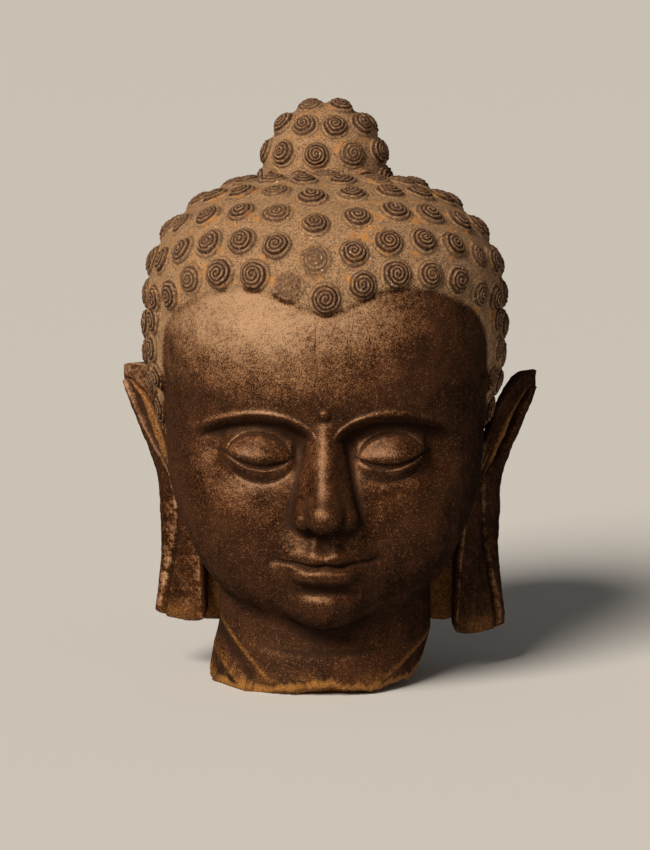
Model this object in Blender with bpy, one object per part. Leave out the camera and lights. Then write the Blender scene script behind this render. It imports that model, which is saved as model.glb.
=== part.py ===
# A stone head with snail-shell curls, a topknot and long ears, broken off at the neck.
# One carved block: skull, face, hair, ears and neck are a single closed body.
# Metres, +Z up. The face looks along -Y, and the neck rests on z = 0 at the origin.

import math

import bmesh
import bpy
import numpy as np

MM = 0.001
MIN_SIZE = 1e-9

# Whole head
CENTRE = np.array((0.0, 0.0, 128 * MM))
CAP_HALF_WIDTH = 101.5 * MM
CAP_HALF_DEPTH = 106 * MM
CAP_BACK_SHIFT = 12 * MM
CAP_TOP = 301 * MM
CAP_WIDEST = 230 * MM
CAP_SQUARENESS = 2.35

# Face, on the canon of equal thirds and five eye widths
HAIRLINE = 232 * MM
CHIN = 43 * MM
FACE_THIRD = (HAIRLINE - CHIN) / 3
FACE_HALF_WIDTH = 95 * MM
FACE_FRONT = 95 * MM
EYE_WIDTH = 2 * FACE_HALF_WIDTH / 5
BROW = CHIN + 2 * FACE_THIRD
NOSE_BASE = CHIN + FACE_THIRD
NOSE_HALF_WIDTH = EYE_WIDTH / 2
EYE_LINE = BROW - FACE_THIRD / 3
EYE_CENTRE = EYE_WIDTH
MOUTH = NOSE_BASE - FACE_THIRD / 3
MOUTH_HALF_WIDTH = 0.75 * EYE_WIDTH
CHIN_BOSS = CHIN + 17 * MM

# Hair
HAIR_THICKNESS = 4.5 * MM
HAIR_LEDGE = 1.2 * MM
HAIR_FRONT_EDGE = 251 * MM
HAIR_CENTRE_DIP = 18 * MM
HAIR_CENTRE_DIP_WIDTH = math.radians(17)
HAIR_SIDE_ANGLE = math.radians(70)
HAIR_FALL = 32 * MM
SIDEBURN_END = 156 * MM
NAPE_END = 98 * MM
HAIR_CENTRE = np.array((0.0, 8 * MM, 205 * MM))
CURL_RADIUS = 9.8 * MM
CURL_HEIGHT = 4.6 * MM

# Rows of curls, numbered up from the forehead: degrees from the top, number of curls, shift of the first
CURL_ROWS = {
    5: (19.0, 9, 0.0),
    4: (30.5, 15, 0.47),
    3: (42.5, 20, -0.3),
    2: (54.6, 25, -0.21),
    1: (65.8, 31, -0.28),
    0: (75.5, 33, 0.0),
    -1: (85.4, 34, 0.5),
    -2: (94.7, 34, 0.0),
    -3: (104.0, 32, 0.5),
    -4: (113.4, 30, 0.0),
    -5: (122.8, 27, 0.5),
}
ROW_TILT = math.radians(12)
BROW_DIP = math.radians(7.8)
BROW_DIP_WIDTH = math.radians(13)
TEMPLE_DIP = math.radians(5)
TEMPLE_DIP_PLACE = math.radians(60)
TEMPLE_DIP_WIDTH = math.radians(12)

# Topknot, its rows of curls given as the head's
KNOT_ROWS = ((82, 12, 0.25), (57, 10, -0.24), (34, 9, 0.32), (15, 4, 0.5))
KNOT_CENTRE = np.array((0.0, 37 * MM, 294 * MM))
KNOT_RADII = np.array((38 * MM, 37 * MM, 52 * MM))
KNOT_SQUARENESS = 2.2

# Neck, with two scoops chipped out of its left and a flat facet off its right
NECK_HALF_WIDTH = 64 * MM
NECK_HALF_DEPTH = 60 * MM
NECK_FLARE = 7 * MM
LEFT_RIDGE = (-60 * MM, 37 * MM)
LEFT_RIDGE_FACING = (-0.73, -0.68)
SCOOP_WIDTH = 16 * MM
SCOOP_DEPTH = 3.2 * MM
RIGHT_RIDGE = (41 * MM, 13 * MM)
RIGHT_RIDGE_FACING = (0.61, -0.79)
FACET_SLOPE = 0.42
FACET_DEPTH = 5 * MM
COLLAR_EDGE = 21 * MM
COLLAR_HALF_WIDTH = 36 * MM
COLLAR_DEPTH = 1.1 * MM
BREAK_FLAT_X = (-52 * MM, 27 * MM)
BREAK_FLAT_Y = (-44 * MM, 50 * MM)
BREAK_ROUGHNESS = 0.55

# Ears: height, root x and y, rim x and y, edge of the outer band, edge of the front plate
EAR_TOP = 187.5 * MM
EAR_JOIN = 118 * MM
EAR_STATIONS = (
    (187.5 * MM, 98 * MM, 6 * MM, 127 * MM, 42 * MM, 1.30, 1.25),
    (180 * MM, 96 * MM, 4 * MM, 126.5 * MM, 41.5 * MM, 1.05, 1.00),
    (176 * MM, 95.5 * MM, 3 * MM, 126 * MM, 41.2 * MM, 0.94, 0.82),
    (171 * MM, 95 * MM, 2 * MM, 125 * MM, 41 * MM, 0.89, 0.60),
    (163 * MM, 94 * MM, 1 * MM, 122 * MM, 39.5 * MM, 0.87, 0.48),
    (155 * MM, 93 * MM, 0 * MM, 119 * MM, 38 * MM, 0.84, 0.41),
    (135 * MM, 90 * MM, -3 * MM, 111 * MM, 33 * MM, 0.66, 0.34),
    (120 * MM, 87 * MM, -5 * MM, 106 * MM, 29 * MM, 0.43, 0.34),
    (95 * MM, 82 * MM, -9 * MM, 104 * MM, 25 * MM, 0.48, 0.48),
    (70 * MM, 79 * MM, -11 * MM, 103.5 * MM, 22 * MM, 0.66, 0.66),
    (50 * MM, 78 * MM, -11 * MM, 105.5 * MM, 21 * MM, 0.76, 0.76),
    (30 * MM, 77 * MM, -10 * MM, 107.5 * MM, 21 * MM, 0.82, 0.82),
)
EAR_THICKNESS = 12 * MM
EAR_ENDS = {-1: 34 * MM, 1: 26 * MM}
EAR_SPREADS = {-1: -3 * MM, 1: 3 * MM}

# Fall of each ear's upper edge: at the tip, towards the head, share of the width, reach, more at the back
EAR_DROPS = {-1: (0 * MM, 14 * MM, 0.4, 40 * MM, 0.0), 1: (3.5 * MM, 42 * MM, 1.0, 80 * MM, 0.18)}
LOBE_ROUNDING = 9 * MM
LOBE_RISE = 3 * MM
LOBE_TIP = 0.4 * MM
EAR_ROWS = 80
EAR_COLUMNS = 30

WEB_CENTRE = np.array((70 * MM, 15 * MM, 86 * MM))
WEB_RADII = np.array((18 * MM, 11 * MM, 54 * MM))
WEB_SQUARENESS = 3
WEB_CUTS = 30

# Fineness of the solid
GRID_CUTS = 95
SEARCH_STEPS = 26
VOXEL = 1.8 * MM
FACET_RATIO = 0.0428
CUTTER_DEPTH = 20 * MM
REST_ALLOWANCE = 1.5 * MM


def smooth_step(low, high, value):
    t = np.clip((value - low) / (high - low), 0.0, 1.0)
    return t * t * (3 - 2 * t)


def bell(offset, width):
    return np.exp(-((offset / width) ** 2))


def union(a, b, reach):
    mix = np.clip(0.5 + 0.5 * (b - a) / reach, 0.0, 1.0)
    return b + (a - b) * mix - reach * mix * (1 - mix)


def carve(a, b, reach):
    return -union(-a, b, reach)


def lump(p, centre, radii, power=2.0):
    """Signed distance along the ray from the middle of a rounded lump to its skin."""
    offset = p - np.asarray(centre)
    size = (np.abs(offset / np.asarray(radii)) ** power).sum(axis=1) ** (1 / power)
    size = np.maximum(size, MIN_SIZE)
    return np.linalg.norm(offset, axis=1) * (1 - 1 / size)


def rod(p, start, end, start_radius, end_radius):
    """Signed distance to a round tapered rod."""
    start = np.asarray(start)
    axis = np.asarray(end) - start
    along = np.clip(((p - start) @ axis) / (axis @ axis), 0.0, 1.0)
    gap = np.linalg.norm(p - start - along[:, None] * axis, axis=1)
    return gap - (start_radius + (end_radius - start_radius) * along)


def mirrored(p):
    """The points folded onto the +X side."""
    folded = p.copy()
    folded[:, 0] = np.abs(folded[:, 0])
    return folded


def skull(p):
    cap_radii = (CAP_HALF_WIDTH, CAP_HALF_DEPTH, CAP_TOP - CAP_WIDEST)
    cap = lump(p, (0, CAP_BACK_SHIFT, CAP_WIDEST), cap_radii, CAP_SQUARENESS)
    back = lump(p, (0, 28 * MM, 168 * MM), (90 * MM, 86 * MM, 90 * MM), 2.2)
    return union(cap, back, 30 * MM)


def face_mass(p):
    side = mirrored(p)
    forehead = lump(p, (0, -8 * MM, 200 * MM), (94 * MM, 89 * MM, 52 * MM), 2.3)
    oval = lump(p, (0, -6 * MM, 150 * MM), (FACE_HALF_WIDTH, 88 * MM, 107 * MM), 2.2)
    jaw = lump(p, (0, -38 * MM, 90 * MM), (67 * MM, 49 * MM, 46 * MM), 2.1)
    chin = lump(p, (0, -71 * MM, CHIN_BOSS), (21 * MM, 19 * MM, 16 * MM))
    cheek = lump(side, (43 * MM, -50 * MM, 113 * MM), (33 * MM, 34 * MM, 36 * MM))
    muzzle = lump(p, (0, -66 * MM, MOUTH + 1 * MM), (36 * MM, 28 * MM, 24 * MM))
    mass = union(oval, forehead, 20 * MM)
    mass = union(mass, jaw, 24 * MM)
    mass = union(mass, cheek, 18 * MM)
    mass = union(mass, muzzle, 16 * MM)
    return union(mass, chin, 14 * MM)


def eyeball(p):
    return lump(mirrored(p), (EYE_CENTRE, -70 * MM, EYE_LINE - 1 * MM), (22.5 * MM, 20 * MM, 18 * MM))


def nose(p):
    side = mirrored(p)
    root = (0, -FACE_FRONT + 4.5 * MM, BROW - 7 * MM)
    tip = (0, -FACE_FRONT - 12.5 * MM, NOSE_BASE + 10 * MM)
    ridge = rod(p, root, tip, 6.0 * MM, 8.5 * MM)
    ball = lump(p, (0, -FACE_FRONT - 13.5 * MM, NOSE_BASE + 9 * MM), (10.5 * MM, 9.5 * MM, 9 * MM))
    wing_centre = (NOSE_HALF_WIDTH - 7.5 * MM, -FACE_FRONT - 3 * MM, NOSE_BASE + 7 * MM)
    wing = lump(side, wing_centre, (8 * MM, 11 * MM, 7.5 * MM))
    flank = rod(side, (4 * MM, -FACE_FRONT + 9 * MM, BROW - 16 * MM),
                (8 * MM, -FACE_FRONT, NOSE_BASE + 12 * MM), 7 * MM, 10 * MM)
    shape = union(union(ridge, ball, 6 * MM), flank, 7 * MM)
    shape = union(shape, wing, 2.5 * MM)
    nostril = lump(side, (7 * MM, -FACE_FRONT - 8 * MM, NOSE_BASE + 0.5 * MM), (4 * MM, 6 * MM, 3.4 * MM))
    return shape, nostril


def lips(p):
    side = mirrored(p)
    face = -FACE_FRONT
    upper = rod(side, (7 * MM, face, MOUTH + 4.6 * MM), (26 * MM, face + 11 * MM, MOUTH + 3.2 * MM),
                5.4 * MM, 2.0 * MM)
    beak = lump(p, (0, face - 0.5 * MM, MOUTH + 3.6 * MM), (6 * MM, 5.2 * MM, 4.6 * MM))
    lower = lump(p, (0, face + 5 * MM, MOUTH - 5.6 * MM), (19 * MM, 11.5 * MM, 7 * MM), 2.2)
    corner = rod(side, (13 * MM, face + 3.5 * MM, MOUTH - 4.0 * MM),
                 (26 * MM, face + 12.5 * MM, MOUTH + 0.6 * MM), 5.0 * MM, 1.2 * MM)
    pair = union(lower, corner, 3 * MM)
    return union(union(upper, beak, 6 * MM), pair, 2 * MM)


def brow_height(s):
    """Height of the brow arc at the distance s from the midline."""
    t = np.clip((s - 5 * MM) / (2.05 * EYE_WIDTH), 0.0, 1.0)
    return BROW - 13 * MM + 16 * MM * np.sin(math.pi * t ** 0.8) ** 0.75


def brow_strokes(s, z):
    arc = brow_height(s)
    ends = smooth_step(2 * MM, 9 * MM, s) * smooth_step(2.14 * EYE_WIDTH, 1.6 * EYE_WIDTH, s)
    below = arc - z
    socket = smooth_step(0.5 * MM, 7 * MM, below) * smooth_step(46 * MM, 14 * MM, below)
    inner = bell(s - 16 * MM, 9 * MM) * bell(z - EYE_LINE - 5 * MM, 12 * MM)
    ridge = bell(below + 1.0 * MM, 2.0 * MM)
    return (1.5 * MM * ridge - 6.0 * MM * socket) * ends - 4.5 * MM * inner


def lid_strokes(s, z):
    u = (s - EYE_CENTRE) / (0.5 * EYE_WIDTH)
    v = z - EYE_LINE
    bow = np.clip(1 - u ** 2, 0.0, 1.0)
    corner = 1.4 * MM * u
    upper_edge = corner - 4.0 * MM * bow
    lower_edge = corner - 7.8 * MM * bow
    crease = corner + 12.5 * MM * bow ** 0.55
    inside = smooth_step(1.14, 0.94, np.abs(u))
    upper = smooth_step(-0.4 * MM, 0.4 * MM, v - upper_edge) * smooth_step(14 * MM, 2 * MM, v - upper_edge)
    lower = smooth_step(-0.4 * MM, 0.4 * MM, lower_edge - v) * smooth_step(7 * MM, 2 * MM, lower_edge - v)
    under = bell(v - lower_edge + 7.5 * MM, 1.5 * MM) * smooth_step(1.0, 0.6, np.abs(u))
    fold = bell(v - crease, 0.9 * MM) * smooth_step(1.3, 0.95, np.abs(u))
    tail = bell(v - 1.4 * MM * u + 0.5 * MM, 0.9 * MM) * smooth_step(0.9, 1.0, u) * smooth_step(1.45, 1.1, u)
    return (2.0 * upper + 1.6 * lower) * MM * inside - (1.0 * fold + 0.9 * tail + 0.6 * under) * MM


def mouth_strokes(s, z):
    reach = np.clip(s / MOUTH_HALF_WIDTH, 0.0, 1.0)
    line = MOUTH + 0.9 * MM * np.cos(3 * math.pi * reach) * (1 - reach) + 2.4 * MM * reach ** 2
    parting = bell(z - line, 1.4 * MM) * smooth_step(1.12, 0.85, s / MOUTH_HALF_WIDTH)
    between = smooth_step(NOSE_BASE + 1 * MM, NOSE_BASE - 6 * MM, z)
    between = between * smooth_step(MOUTH + 5 * MM, MOUTH + 12 * MM, z)
    groove = bell(s, 3.4 * MM) * between
    ridges = bell(s - 6 * MM, 2.4 * MM) * between
    under = bell(s, 20 * MM) * bell(z - (MOUTH - 16.5 * MM), 4.5 * MM)
    dimple = bell(np.hypot(s - MOUTH_HALF_WIDTH - 1 * MM, z - MOUTH - 2.6 * MM), 4.5 * MM)
    return (0.5 * ridges - 1.7 * parting - 1.2 * groove - 2.8 * under - 2.2 * dimple) * MM


def strokes(p):
    """How far the fine carving stands out of the face at each point."""
    s = np.abs(p[:, 0])
    z = p[:, 2]
    front = smooth_step(-20 * MM, -45 * MM, p[:, 1])
    mark = smooth_step(3.8 * MM, 1.8 * MM, np.hypot(s, z - BROW - 4 * MM))
    return front * (lid_strokes(s, z) + mouth_strokes(s, z) + 1.8 * MM * mark)


def chips(p):
    """How deep the neck is chipped at each point."""
    x, y, z = p.T
    past_left = LEFT_RIDGE_FACING[0] * (x - LEFT_RIDGE[0]) + LEFT_RIDGE_FACING[1] * (z - LEFT_RIDGE[1])
    past_right = RIGHT_RIDGE_FACING[0] * (x - RIGHT_RIDGE[0]) + RIGHT_RIDGE_FACING[1] * (z - RIGHT_RIDGE[1])
    scoops = np.abs(np.sin(math.pi * past_left / SCOOP_WIDTH)) * (past_left > 0)
    scoops = scoops * smooth_step(10 * MM, -15 * MM, y) * smooth_step(-24 * MM, -36 * MM, x)
    facet = np.clip(FACET_SLOPE * past_right, 0, FACET_DEPTH) * smooth_step(18 * MM, 0, y)
    edge = COLLAR_EDGE + 4 * MM * (x / COLLAR_HALF_WIDTH) ** 2
    collar = smooth_step(edge, edge + 3.5 * MM, z) * smooth_step(42 * MM, 32 * MM, z)
    collar = collar * bell(x, COLLAR_HALF_WIDTH) * (y < 0)
    return SCOOP_DEPTH * scoops + facet + COLLAR_DEPTH * collar


def neck(p):
    z = p[:, 2]
    flare = NECK_FLARE * smooth_step(45 * MM, 0, z) * smooth_step(10 * MM, -40 * MM, p[:, 0])
    size = np.hypot(p[:, 0] / (NECK_HALF_WIDTH + flare), (p[:, 1] + 1 * MM) / NECK_HALF_DEPTH)
    column = np.hypot(p[:, 0], p[:, 1]) * (1 - 1 / np.maximum(size, MIN_SIZE))
    return np.maximum(column + chips(p), z - 120 * MM)


def unevenness(x, y):
    """A broken surface's rise and fall, about zero, in waves that bend one another."""
    long_wave = np.sin(x / (9.7 * MM) + 1.7 * np.sin(y / (17.3 * MM)) + 0.6)
    cross_wave = np.sin(y / (8.1 * MM) - 1.3 * np.sin(x / (13.9 * MM)) + 2.1)
    short_wave = np.sin((x + y) / (4.3 * MM) + long_wave) * np.sin((x - 2 * y) / (7.9 * MM))
    return 0.45 * long_wave + 0.4 * cross_wave + 0.3 * short_wave


def break_height(x, y):
    """Height of the broken underside, flat where the neck stands."""
    past_right = np.maximum(x - BREAK_FLAT_X[1], 0)
    past_left = np.maximum(BREAK_FLAT_X[0] - x, 0)
    past_y = np.maximum(y - BREAK_FLAT_Y[1], 0) + np.maximum(BREAK_FLAT_Y[0] - y, 0)
    slope = 0.25 * past_left + 0.30 * past_y + 0.42 * past_right
    steep = 0.8 * np.maximum(past_right - 32 * MM, 0)
    return slope * (1 + BREAK_ROUGHNESS * unevenness(x, y)) + steep


def head_field(p):
    face = face_mass(p)
    front = smooth_step(-20 * MM, -45 * MM, p[:, 1])
    face = face - front * brow_strokes(np.abs(p[:, 0]), p[:, 2])
    body = union(skull(p), face, 16 * MM)
    body = union(body, eyeball(p), 3.5 * MM)
    shape, nostril = nose(p)
    body = union(body, shape, 4 * MM)
    body = union(body, lips(p), 4 * MM)
    body = carve(body, nostril, 1.5 * MM)
    body = body - strokes(p)
    body = union(body, neck(p), 7 * MM)
    underside = break_height(p[:, 0], p[:, 1]) - REST_ALLOWANCE
    return np.maximum(body, underside - p[:, 2])


def hair_depth(p):
    """Signed depth inside the hair, measured from the hairline."""
    angle = np.abs(np.arctan2(p[:, 0], -p[:, 1]))
    fall = HAIR_FALL * (angle / HAIR_SIDE_ANGLE) ** 2.5
    line = HAIR_FRONT_EDGE - fall - HAIR_CENTRE_DIP * bell(angle, HAIR_CENTRE_DIP_WIDTH)
    over = p[:, 2] - line
    taper = math.radians(13) * smooth_step(200 * MM, SIDEBURN_END, p[:, 2])
    beside = (angle - HAIR_SIDE_ANGLE - taper) * FACE_HALF_WIDTH
    end = SIDEBURN_END + (NAPE_END - SIDEBURN_END) * smooth_step(math.radians(95), math.radians(125), angle)
    edge = -union(-over, -beside, 26 * MM)
    return np.minimum(edge, p[:, 2] - end)


def march(field, directions, origin, reach=220 * MM):
    """Distance from the origin to the skin along each direction."""
    low = np.full(len(directions), 20 * MM)
    high = np.full(len(directions), reach)
    for _ in range(SEARCH_STEPS):
        middle = 0.5 * (low + high)
        outside = field(origin + middle[:, None] * directions) > 0
        high = np.where(outside, middle, high)
        low = np.where(outside, low, middle)
    return 0.5 * (low + high)


def hair_field(p):
    """The head with its hair, which starts with a low ledge and grows thicker behind it."""
    depth = hair_depth(p)
    ledge = HAIR_LEDGE * smooth_step(-5 * MM, 4 * MM, depth)
    return head_field(p) - ledge - (HAIR_THICKNESS - HAIR_LEDGE) * smooth_step(0, 30 * MM, depth)


def knot_field(p):
    return lump(p, KNOT_CENTRE, KNOT_RADII, KNOT_SQUARENESS)


def turned(polar, round_angle, tilt):
    """Direction at a polar angle and a turn from the front about an axis that leans back."""
    up = math.cos(polar)
    forward = math.sin(polar) * math.cos(round_angle)
    return np.array((
        math.sin(polar) * math.sin(round_angle),
        up * math.sin(tilt) - forward * math.cos(tilt),
        up * math.cos(tilt) + forward * math.sin(tilt),
    ))


def head_curl_directions():
    """Directions of the curls: rings about an axis that leans back with the topknot."""
    directions = []
    for row, (degrees, count, shift) in CURL_ROWS.items():
        brow_dip = BROW_DIP * (1 - 0.15 * max(row, 0))
        temple_dip = TEMPLE_DIP * (1 - 0.3 * row) * (0 <= row <= 3)
        for number in range(count):
            angle = (number + shift) * 2 * math.pi / count
            from_front = abs(math.remainder(angle, 2 * math.pi))
            polar = math.radians(degrees) + brow_dip * bell(from_front, BROW_DIP_WIDTH)
            polar += temple_dip * bell(from_front - TEMPLE_DIP_PLACE, TEMPLE_DIP_WIDTH)
            directions.append(turned(polar, angle, ROW_TILT))
    return np.array(directions)


def head_curls():
    directions = head_curl_directions()
    centres = HAIR_CENTRE + directions * march(hair_field, directions, HAIR_CENTRE)[:, None]
    in_hair = hair_depth(centres) > 2 * MM
    knot_gap = np.hypot(centres[:, 0], centres[:, 1] - KNOT_CENTRE[1]) - KNOT_RADII[0]
    clear_of_knot = (knot_gap > 0.6 * CURL_RADIUS) | (centres[:, 2] < CAP_WIDEST)
    return centres[in_hair & clear_of_knot]


def knot_curls():
    directions = []
    for degrees, count, shift in KNOT_ROWS:
        for number in range(count):
            angle = (number + shift) * 2 * math.pi / count
            directions.append(turned(math.radians(degrees), angle, 0.0))
    directions = np.array(directions)
    return KNOT_CENTRE + directions * march(knot_field, directions, KNOT_CENTRE)[:, None]


def curl_relief(points, centres):
    """Height of the snail-shell bosses at each point of the skin."""
    nearest = np.full(len(points), 1.0)
    for centre in centres:
        nearest = np.minimum(nearest, np.linalg.norm(points - centre, axis=1))
    inside = np.clip(1 - (nearest / CURL_RADIUS) ** 2, 0.0, 1.0)
    return CURL_HEIGHT * inside ** 0.6


def even_ball(cuts):
    """A ball of nearly even square faces, radius one."""
    mesh = bmesh.new()
    bmesh.ops.create_cube(mesh, size=2)
    bmesh.ops.subdivide_edges(mesh, edges=mesh.edges[:], cuts=cuts, use_grid_fill=True)
    points = np.array([v.co for v in mesh.verts])
    points = np.tan(points * math.pi / 4)
    points /= np.linalg.norm(points, axis=1)[:, None]
    for vert, point in zip(mesh.verts, points):
        vert.co = point
    return mesh, points


def mesh_object(name, mesh):
    data = bpy.data.meshes.new(name)
    mesh.to_mesh(data)
    mesh.free()
    thing = bpy.data.objects.new(name, data)
    bpy.context.collection.objects.link(thing)
    data.shade_smooth()
    return thing


def skin(name, field, origin, cuts, curls):
    """A closed skin around the origin, with curls standing on it."""
    mesh, directions = even_ball(cuts)
    points = origin + directions * march(field, directions, origin)[:, None]
    points = points + directions * curl_relief(points, curls)[:, None]
    for vert, point in zip(mesh.verts, points):
        vert.co = point
    return mesh_object(name, mesh)


def along(stations, column, z):
    """A column of the ear's stations at the height z, on a smooth curve."""
    heights = np.array([row[0] for row in stations])[::-1]
    values = np.array([row[column] for row in stations])[::-1]
    index = int(np.clip(np.searchsorted(heights, z) - 1, 0, len(heights) - 2))
    slopes = np.gradient(values, heights)
    span = heights[index + 1] - heights[index]
    t = float(np.clip((z - heights[index]) / span, 0.0, 1.0))
    start = (1 + 2 * t) * (1 - t) ** 2 * values[index] + t * (1 - t) ** 2 * span * slopes[index]
    stop = t * t * (3 - 2 * t) * values[index + 1] + t * t * (t - 1) * span * slopes[index + 1]
    return start + stop


def ear_relief(u, z, width):
    """Height of the carving on the ear's front, u running from the head to the rim."""
    band = along(EAR_STATIONS, 5, z)
    plate = along(EAR_STATIONS, 6, z)
    edge = 1.6 * MM / width
    across = np.clip((u - plate) / max(band - plate, MIN_SIZE), 0.0, 1.0)
    below_top = smooth_step(EAR_TOP - 1 * MM, EAR_TOP - 6 * MM, z)
    above_join = smooth_step(EAR_JOIN - 4 * MM, EAR_JOIN + 4 * MM, z)
    hollow = smooth_step(plate - edge, plate + edge, u) * smooth_step(band + edge, band - edge, u)
    hollow = hollow * smooth_step(1.0, 0.9, u)
    fold_share = 0.70 - 0.16 * smooth_step(EAR_JOIN + 30 * MM, EAR_JOIN + 46 * MM, z)
    channel = smooth_step(0.74, 1.0, across / fold_share)
    channel = channel * smooth_step(EAR_TOP - 11 * MM, EAR_TOP - 17 * MM, z)
    channel = channel * smooth_step(EAR_JOIN + 12 * MM, EAR_JOIN + 22 * MM, z)
    fold = np.sin(math.pi * np.clip(across / fold_share, 0.0, 1.0)) ** 0.7
    recess = hollow * (2.2 * MM * fold - 1.4 * MM - 3.4 * MM * channel)
    groove = 3.8 * MM * bell((u - band) * width, 1.7 * MM) * below_top * (1 - above_join)
    lobe = smooth_step(EAR_JOIN + 6 * MM, EAR_JOIN - 14 * MM, z)
    outer = np.sin(math.pi * np.clip((u - band) / max(1 - band, MIN_SIZE), 0.0, 1.0))
    inner = np.sin(math.pi * np.clip(u / band, 0.0, 1.0)) ** 0.7
    swell = np.where(u > band, 2.2 * MM * outer, 2.2 * MM * inner * lobe)
    return swell - groove + recess * below_top * above_join


def ear(side):
    """One long ear as a closed slab: the front is carved, the back is plain."""
    mesh = bmesh.new()
    end = EAR_ENDS[side]
    spread = EAR_SPREADS[side]
    fall, depth, share, reach, lean = EAR_DROPS[side]
    u = np.linspace(0, 1, EAR_COLUMNS)
    rows = []
    for row in range(EAR_ROWS + 1):
        z = EAR_TOP + (end - EAR_TOP) * row / EAR_ROWS
        lobe = smooth_step(EAR_JOIN + 6 * MM, EAR_JOIN - 14 * MM, z)
        root = np.array((along(EAR_STATIONS, 1, z) + spread * lobe, along(EAR_STATIONS, 2, z)))
        rim = np.array((along(EAR_STATIONS, 3, z) + spread, along(EAR_STATIONS, 4, z)))
        across = rim - root
        width = float(np.linalg.norm(across))
        outward = np.array((across[1], -across[0])) / width
        round_end = math.sqrt(1 - (1 - min(1.0, (z - end + LOBE_TIP) / LOBE_ROUNDING)) ** 2)
        lip = np.sqrt(1 - 0.95 * np.clip((u - 0.8) / 0.2, 0, 1) ** 2)
        lip = lip - 0.75 * lobe * np.clip(1 - u / 0.25, 0, 1) ** 2
        front = root + u[:, None] * across + outward * (ear_relief(u, z, width) * round_end)[:, None]
        back = root + u[:, None] * across - outward * (EAR_THICKNESS * round_end * lip)[:, None]
        crown = smooth_step(EAR_TOP - reach, EAR_TOP, z)
        corner = fall + 2 * MM * np.clip((u - 0.8) / 0.2, 0, 1) ** 2
        foot = smooth_step(end + 3 * LOBE_ROUNDING, end, z)
        heights = z - crown * corner + foot * LOBE_RISE * np.abs(2 * u - 1) ** 3
        front_heights = heights - crown * depth * np.clip(1 - u / share, 0, 1) ** 2
        back_heights = heights - crown * depth * np.clip(1 - u / share + lean * lip, 0, 1) ** 2
        loop = list(zip(front, front_heights)) + list(zip(back[::-1], back_heights[::-1]))
        rows.append([mesh.verts.new((side * flat[0], flat[1], height)) for flat, height in loop])
    count = len(rows[0])
    for upper, lower in zip(rows, rows[1:]):
        for i in range(count):
            j = (i + 1) % count
            mesh.faces.new((upper[i], upper[j], lower[j], lower[i]))
    mesh.faces.new(rows[0][::-1])
    mesh.faces.new(rows[-1])
    bmesh.ops.recalc_face_normals(mesh, faces=mesh.faces)
    return mesh_object("ear", mesh)


def web(side):
    """The stone left standing between a lobe and the neck."""
    mesh, directions = even_ball(WEB_CUTS)
    centre = WEB_CENTRE * (side, 1, 1)
    size = (np.abs(directions / WEB_RADII) ** WEB_SQUARENESS).sum(axis=1) ** (1 / WEB_SQUARENESS)
    for vert, direction, length in zip(mesh.verts, directions, 1 / size):
        vert.co = centre + direction * length
    return mesh_object("web", mesh)


def clay(cuts):
    pieces = [skin("head", hair_field, CENTRE, cuts, head_curls())]
    pieces.append(skin("topknot", knot_field, KNOT_CENTRE, cuts // 2, knot_curls()))
    for side in (-1, 1):
        pieces.append(ear(side))
        pieces.append(web(side))
    return pieces


def floor_cutter():
    """A block whose top is the plane that the neck rests on."""
    bpy.ops.mesh.primitive_cube_add(size=1, location=(0, 0, -CUTTER_DEPTH / 2))
    cutter = bpy.context.object
    cutter.name = "floor_cutter"
    cutter.scale = (1, 1, CUTTER_DEPTH)
    bpy.ops.object.transform_apply(location=False, rotation=False, scale=True)
    cutter.hide_render = True
    cutter.display_type = "WIRE"
    return cutter


def carved_head():
    pieces = clay(GRID_CUTS)
    bpy.ops.object.select_all(action="DESELECT")
    for piece in pieces:
        piece.select_set(True)
    head = pieces[0]
    bpy.context.view_layer.objects.active = head
    bpy.ops.object.join()
    head.name = "buddha_head"
    remesh = head.modifiers.new("one_block", "REMESH")
    remesh.mode = "VOXEL"
    remesh.voxel_size = VOXEL
    decimate = head.modifiers.new("facets", "DECIMATE")
    decimate.ratio = FACET_RATIO
    rest = head.modifiers.new("resting_face", "BOOLEAN")
    rest.operation = "DIFFERENCE"
    rest.solver = "EXACT"
    rest.object = floor_cutter()
    head.data.materials.clear()
    head.data.materials.append(stone())
    return head


def stone():
    """Dark brown, hand-worn stone."""
    material = bpy.data.materials.new("dark_stone")
    material.use_nodes = True
    surface = material.node_tree.nodes["Principled BSDF"]
    surface.inputs["Base Color"].default_value = (0.10, 0.055, 0.032, 1)
    surface.inputs["Roughness"].default_value = 0.45
    surface.inputs["Metallic"].default_value = 0.0
    return material


def main():
    for thing in list(bpy.data.objects):
        bpy.data.objects.remove(thing)
    carved_head()


if __name__ == "__main__":
    main()
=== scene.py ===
# A dark stone head with snail-shell curls, a topknot and long ears, broken off at the neck.
# Metres, +Z up. The face looks along -Y and the broken neck stands on z = 0.
import math
import time

import bpy
import numpy as np
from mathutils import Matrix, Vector


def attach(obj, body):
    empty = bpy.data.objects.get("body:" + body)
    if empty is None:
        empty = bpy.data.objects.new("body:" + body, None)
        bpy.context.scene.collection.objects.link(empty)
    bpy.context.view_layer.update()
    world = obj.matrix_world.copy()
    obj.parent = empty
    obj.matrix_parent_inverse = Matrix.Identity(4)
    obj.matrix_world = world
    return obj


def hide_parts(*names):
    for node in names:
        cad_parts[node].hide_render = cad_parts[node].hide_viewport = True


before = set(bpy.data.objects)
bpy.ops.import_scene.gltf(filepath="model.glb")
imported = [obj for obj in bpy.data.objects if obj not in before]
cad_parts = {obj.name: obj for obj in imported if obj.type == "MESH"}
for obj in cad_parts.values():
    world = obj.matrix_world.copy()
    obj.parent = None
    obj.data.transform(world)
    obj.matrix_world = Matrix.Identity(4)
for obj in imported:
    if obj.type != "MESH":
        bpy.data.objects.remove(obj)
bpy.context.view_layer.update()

mm = 0.001
tiny = 1e-9
started = time.time()


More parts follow.
